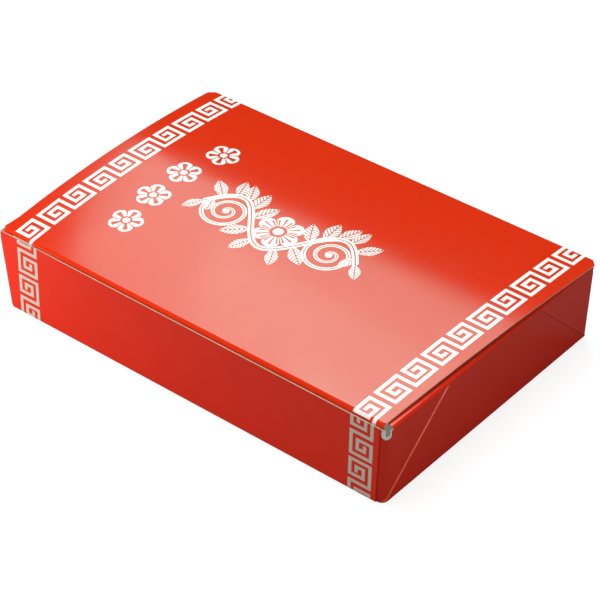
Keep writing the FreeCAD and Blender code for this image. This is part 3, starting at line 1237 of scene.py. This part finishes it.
@dataclass(frozen=True)
class BeadHighlightAndWear:
    """Painted highlight along the front bead of each end wall, and bare board round the front right slot, in
    millimetres.
    """

    wall_foot: float
    floor_middle: float
    half_width: float
    slot_middle: float
    slot_foot: float
    bare_rise: float = 0.8
    bare_shift: float = -0.5
    bare_reach: float = 1.4
    ragged_reach: float = 1.2
    ragged_grain: float = 1400.0
    bead_half_width: float = 0.95
    bead_middle: float = 18.5
    bead_half_height: float = 17.5
    # Painted highlight: the lighter orange laid on the front beads, and how much of it.
    painted_highlight_share: float = 0.85
    painted_highlight_colour: Colour = (0.95, 0.10, 0.03, 1.0)
    bare: Colour = (0.86, 0.82, 0.78, 1.0)

    def build(self, nodes: Nodes, u: Term, v: Term, colour: Term) -> bpy.types.NodeSocket:
        """Lay the painted bead highlight and the bare board over a colour.

        Args:
            nodes: the material's wiring hand.
            u: place along the blank.
            v: place from the front wall's top edge.
            colour: the printed colour.

        Returns:
            The colour with the painted bead highlight and the bare board.
        """
        height = nodes.math("SUBTRACT", nodes.math("ABSOLUTE", u), self.wall_foot)
        depth = nodes.math("SUBTRACT", v, self.floor_middle)
        offset = nodes.math("SUBTRACT", nodes.math("SUBTRACT", height, depth), self.half_width)
        # Painted highlight: lighter orange along the front bead, standing in for light that the raised bead
        # catches.
        bead = nodes.product(
            nodes.band(offset, 0.0, self.bead_half_width * math.sqrt(2)),
            nodes.band(height, self.bead_middle, self.bead_half_height),
            self.painted_highlight_share,
        )
        below = nodes.math("MAXIMUM", nodes.math("SUBTRACT", self.slot_foot + self.bare_rise, u), 0.0)
        beside = nodes.math("SUBTRACT", v, self.slot_middle + self.bare_shift)
        place = nodes.add("ShaderNodeTexCoord").outputs["Object"]
        grain = nodes.noise(place, self.ragged_grain)
        reach = nodes.math("MULTIPLY_ADD", grain, self.ragged_reach, self.bare_reach)
        bare = nodes.math("LESS_THAN", nodes.distance(below, beside), reach)
        return nodes.mix(bare, nodes.mix(bead, colour, self.painted_highlight_colour), self.bare)


def highlight_and_wear_on(tray: Tray) -> BeadHighlightAndWear:
    """Find the places of the painted bead highlight and the bare board on the tray's blank.

    Args:
        tray: the tray.

    Returns:
        The painted highlight and the bare board, in their places.
    """
    sizes = tray.sizes
    crease = tray.straight_end(1, -1) + tray.corner_bend(1, -1) * math.pi / 4
    return BeadHighlightAndWear(
        wall_foot=sizes.floor_end - tray.floor_saving,
        floor_middle=tray.floor_middle,
        half_width=sizes.half_width,
        slot_middle=tray.floor_middle - crease,
        slot_foot=sizes.floor_end + tray.slot_foot,
    )


@dataclass(frozen=True)
class PrintedBoard:
    """Gloss coated red print with pale ink borders, which end at top and bottom, in millimetres."""

    name: str
    red: Colour
    ink: Colour
    bands: tuple[Band, ...]
    border: Meander
    top: float
    bottom: float
    spray: Spray | None = None
    highlight_and_wear: BeadHighlightAndWear | None = None
    roughness: float = 0.11
    roughness_swing: float = 0.06
    cloud_scale: float = 60.0
    cloud_detail: float = 3.0
    cloud_shade: float = 0.9
    swell_scale: float = 45.0
    swell_detail: float = 1.0
    peel_scale: float = 900.0
    peel_share: float = 0.15
    mottle_strength: float = 0.5
    mottle_height: float = 0.035

    def print_mask(self, nodes: Nodes, u: Term, v: Term) -> bpy.types.NodeSocket:
        """Draw the borders and the ornament.

        Args:
            nodes: the material's wiring hand.
            u: place across the blank.
            v: place along it.

        Returns:
            One where the pale ink lies.
        """
        border = self.border.build(self.name + "_border")
        masks = []
        for band in self.bands:
            across = nodes.math("SUBTRACT", u, nodes.math("MULTIPLY_ADD", v, band.slant, band.middle))
            along = nodes.math("SUBTRACT", band.shared, v)
            masks.append(nodes.group(border, Across=across, Along=along).outputs[0])
        span = nodes.band(v, (self.top + self.bottom) / 2, (self.bottom - self.top) / 2)
        mask = nodes.product(nodes.either(*masks), span)
        return nodes.either(mask, self.spray.build(nodes, u, v)) if self.spray else mask

    def build(self) -> bpy.types.Material:
        """Make the material.

        Returns:
            The material.
        """
        material, nodes, shader = new_material(self.name)
        split = nodes.add("ShaderNodeSeparateXYZ")
        nodes.link(nodes.add("ShaderNodeUVMap", uv_map=BLANK_MAP).outputs[0], split.inputs[0])
        u, v = split.outputs[0], split.outputs[1]
        mask = self.print_mask(nodes, u, v)
        place = nodes.add("ShaderNodeTexCoord").outputs["Object"]
        cloud = nodes.noise(place, self.cloud_scale, self.cloud_detail)
        shaded = (*(channel * self.cloud_shade for channel in self.red[:3]), 1.0)
        colour = nodes.mix(mask, nodes.mix(cloud, self.red, shaded), self.ink)
        # Painted bead highlight, with the bare board round the slot.
        if self.highlight_and_wear:
            colour = self.highlight_and_wear.build(nodes, u, v, colour)
        nodes.link(colour, shader.inputs["Base Color"])
        peel = nodes.noise(place, self.peel_scale)
        swell = nodes.noise(place, self.swell_scale, self.swell_detail)
        height = nodes.math("MULTIPLY_ADD", peel, self.peel_share, swell)
        nodes.link(nodes.bump(height, self.mottle_strength, self.mottle_height), shader.inputs["Normal"])
        smoothest = self.roughness - self.roughness_swing / 2
        rough = nodes.math("MULTIPLY_ADD", cloud, self.roughness_swing, smoothest)
        nodes.link(rough, shader.inputs["Roughness"])
        return material


@dataclass(frozen=True)
class PlainBoard:
    """Uncoated face or cut edge of the board, with a faint painted glow that stands in for light coming
    through it.
    """

    name: str
    pale: Colour
    dark: Colour
    grain: float
    roughness: float
    painted_glow: float = 0.0
    fibre_detail: float = 4.0
    fibre_strength: float = 0.3
    fibre_height: float = 0.02

    def build(self) -> bpy.types.Material:
        """Make the material.

        Returns:
            The material.
        """
        material, nodes, shader = new_material(self.name)
        place = nodes.add("ShaderNodeTexCoord").outputs["Object"]
        fibre = nodes.noise(place, self.grain, self.fibre_detail)
        nodes.link(nodes.mix(fibre, self.pale, self.dark), shader.inputs["Base Color"])
        shader.inputs["Roughness"].default_value = self.roughness
        # Painted glow: faint emission in the board's pale colour.
        shader.inputs["Emission Color"].default_value = self.pale
        shader.inputs["Emission Strength"].default_value = self.painted_glow
        nodes.link(nodes.bump(fibre, self.fibre_strength, self.fibre_height), shader.inputs["Normal"])
        return material


def aim(thing: bpy.types.Object, place: Triple, target: Triple, roll: float) -> None:
    """Stand a lamp or a camera in place.

    Args:
        thing: the lamp or camera.
        place: where it stands, in metres.
        target: the point that it faces, in metres.
        roll: turn about its line of sight, in degrees.
    """
    facing = Vector(target) - Vector(place)
    turn = Quaternion(facing.normalized(), math.radians(roll))
    thing.location = place
    thing.rotation_mode = "QUATERNION"
    thing.rotation_quaternion = turn @ facing.to_track_quat("-Z", "Y")


@dataclass(frozen=True)
class Lamp:
    """Soft rectangular lamp that points at the carton, in metres, watts and degrees."""

    name: str
    place: Triple
    target: Triple
    size: Pair
    power: float
    roll: float = 0.0
    tint: Triple = (1.0, 1.0, 1.0)

    def build(self) -> None:
        """Hang the lamp."""
        data = bpy.data.lights.new(self.name, "AREA")
        data.shape = "RECTANGLE"
        data.size, data.size_y = self.size
        data.energy = self.power
        data.color = self.tint
        aim(add_object(self.name, data), self.place, self.target, self.roll)


@dataclass(frozen=True)
class Studio:
    """Pale floor, soft lamps, even world and the camera, in metres, degrees and shares of white."""

    floor_size: float = 6.0
    floor_drop: float = 0.0001
    floor_pale: float = 0.24
    floor_mirrored: float = 0.12
    floor_roughness: float = 0.9
    floor_specular: float = 0.1
    floor_glow: float = 0.82
    world_level: float = 0.30
    world_mirrored: float = 0.02
    camera_place: Triple = (0.503791, -0.571790, 0.589206)
    camera_target: Triple = (0.010176, -0.007971, 0.020)
    camera_roll: float = 1.6004
    camera_reach: Pair = (0.05, 20.0)
    focal_pixels: float = 2383.79
    picture_pixels: float = 600.0
    lamps: tuple[Lamp, ...] = ()

    def floor(self) -> None:
        """Lay the floor, which keeps the carton's shadow."""
        shape = bmesh.new()
        bmesh.ops.create_grid(shape, x_segments=1, y_segments=1, size=self.floor_size / 2)
        bmesh.ops.translate(shape, verts=shape.verts, vec=(0.0, 0.0, -self.floor_drop))
        mesh = bpy.data.meshes.new("floor")
        shape.to_mesh(mesh)
        shape.free()
        floor = add_object("floor", mesh)
        material, nodes, shader = new_material("floor")
        paths = nodes.add("ShaderNodeLightPath")
        pale = nodes.math("MULTIPLY_ADD", paths.outputs["Is Glossy Ray"],
                          self.floor_mirrored - self.floor_pale, self.floor_pale)
        nodes.link(nodes.mix(pale, BLACK, WHITE), shader.inputs["Base Color"])
        shader.inputs["Roughness"].default_value = self.floor_roughness
        shader.inputs["Specular IOR Level"].default_value = self.floor_specular
        shader.inputs["Emission Color"].default_value = WHITE
        glow = nodes.product(paths.outputs["Is Camera Ray"], self.floor_glow)
        nodes.link(glow, shader.inputs["Emission Strength"])
        mesh.materials.append(material)

    def world(self) -> None:
        """Light the room evenly, white where the camera sees it."""
        world = bpy.data.worlds.new("room")
        world.use_nodes = True
        bpy.context.scene.world = world
        nodes = Nodes(world.node_tree)
        background = world.node_tree.nodes["Background"]
        background.inputs["Color"].default_value = WHITE
        paths = nodes.add("ShaderNodeLightPath")
        lit = nodes.math("MULTIPLY_ADD", paths.outputs["Is Glossy Ray"],
                         self.world_mirrored - self.world_level, self.world_level)
        nodes.link(nodes.either(paths.outputs["Is Camera Ray"], lit), background.inputs["Strength"])

    def camera(self) -> None:
        """Set the camera up at the photograph's angle."""
        data = bpy.data.cameras.new("camera")
        data.lens = self.focal_pixels / self.picture_pixels * data.sensor_width
        data.clip_start, data.clip_end = self.camera_reach
        camera = add_object("camera", data)
        aim(camera, self.camera_place, self.camera_target, self.camera_roll)
        bpy.context.scene.camera = camera

    def build(self) -> None:
        """Set the whole studio up."""
        self.floor()
        self.world()
        for lamp in self.lamps:
            lamp.build()
        self.camera()
        bpy.context.scene.view_settings.view_transform = "Standard"


LID_PRINT = PrintedBoard(
    name="lid_print",
    red=(0.76, 0.028, 0.004, 1.0),
    ink=(0.86, 0.82, 0.80, 1.0),
    bands=(Band(-89.3, 102.6, 0.019), Band(89.6, 104.5, -0.012)),
    border=Meander(half_width=4.5, block=11.8, pitch=27.25),
    top=-5.0,
    bottom=300.0,
    spray=Spray(),
)
TRAY_PRINT = PrintedBoard(
    name="tray_print",
    red=(0.76, 0.025, 0.007, 1.0),
    ink=(0.56, 0.51, 0.43, 1.0),
    bands=(Band(-83.2, 4.6, -0.06), Band(88.2, 8.0, -0.055)),
    border=Meander(half_width=4.7, block=10.65, pitch=24.3, line=1.5),
    top=-5.0,
    bottom=60.0,
)
# The inside face carries a faint painted glow; the cut edge has none.
INSIDE = PlainBoard(
    "inside_board", pale=(0.83, 0.81, 0.76, 1.0), dark=(0.76, 0.74, 0.68, 1.0), grain=700.0,
    roughness=0.6, painted_glow=0.06,
)
CUT_EDGE = PlainBoard(
    "cut_edge", pale=(0.56, 0.43, 0.30, 1.0), dark=(0.36, 0.25, 0.17, 1.0), grain=1500.0,
    roughness=0.75,
)

# Two smaller softboxes share a corner of the first one, so that its light fades away from there.
SOFTBOX_ROLL = -152.0
SOFTBOX_TINT = (0.46, 0.97, 0.86)
LAMPS = (
    Lamp("softbox", (-0.3585, 0.3845, 0.700), (-0.132, 0.098, 0.040), (0.51, 0.51), 2.75,
         SOFTBOX_ROLL, SOFTBOX_TINT),
    Lamp("softbox_middle", (-0.305, 0.350, 0.733), (-0.078, 0.064, 0.073), (0.408, 0.408), 0.62,
         SOFTBOX_ROLL, SOFTBOX_TINT),
    Lamp("softbox_core", (-0.251, 0.316, 0.767), (-0.024, 0.030, 0.107), (0.306, 0.306), 0.55,
         SOFTBOX_ROLL, SOFTBOX_TINT),
    Lamp("top", (-0.02, -0.12, 0.85), (0.0, 0.0, 0.0), (0.5, 0.5), 4.5),
    Lamp("left_key", (-0.30, -0.20, 0.05), (-0.08, -0.06, 0.02), (0.20, 0.07), 1.2),
    Lamp("right_fill", (0.45, -0.12, 0.10), (0.10, 0.0, 0.02), (0.20, 0.12), 0.29),
)


def main() -> None:
    """Build the carton and its studio, and report each piece."""
    logging.basicConfig(level=logging.INFO, format="%(message)s")
    sizes, board = CartonSizes(), Board()
    tray, lid = Tray(sizes, board), Lid(sizes, board)
    inside, edge = INSIDE.build(), CUT_EDGE.build()
    # Only the tray gets the painted bead highlight and the bare board round the slot.
    tray_print = replace(TRAY_PRINT, highlight_and_wear=highlight_and_wear_on(tray))
    pieces = [
        tray.build([tray_print.build(), inside, edge]),
        lid.build([LID_PRINT.build(), inside, edge]),
    ]
    Studio(lamps=LAMPS).build()
    for piece in pieces:
        piece.data.calc_loop_triangles()
        LOG.info("%s: %d triangles", piece.name, len(piece.data.loop_triangles))


if __name__ == "__main__":
    main()
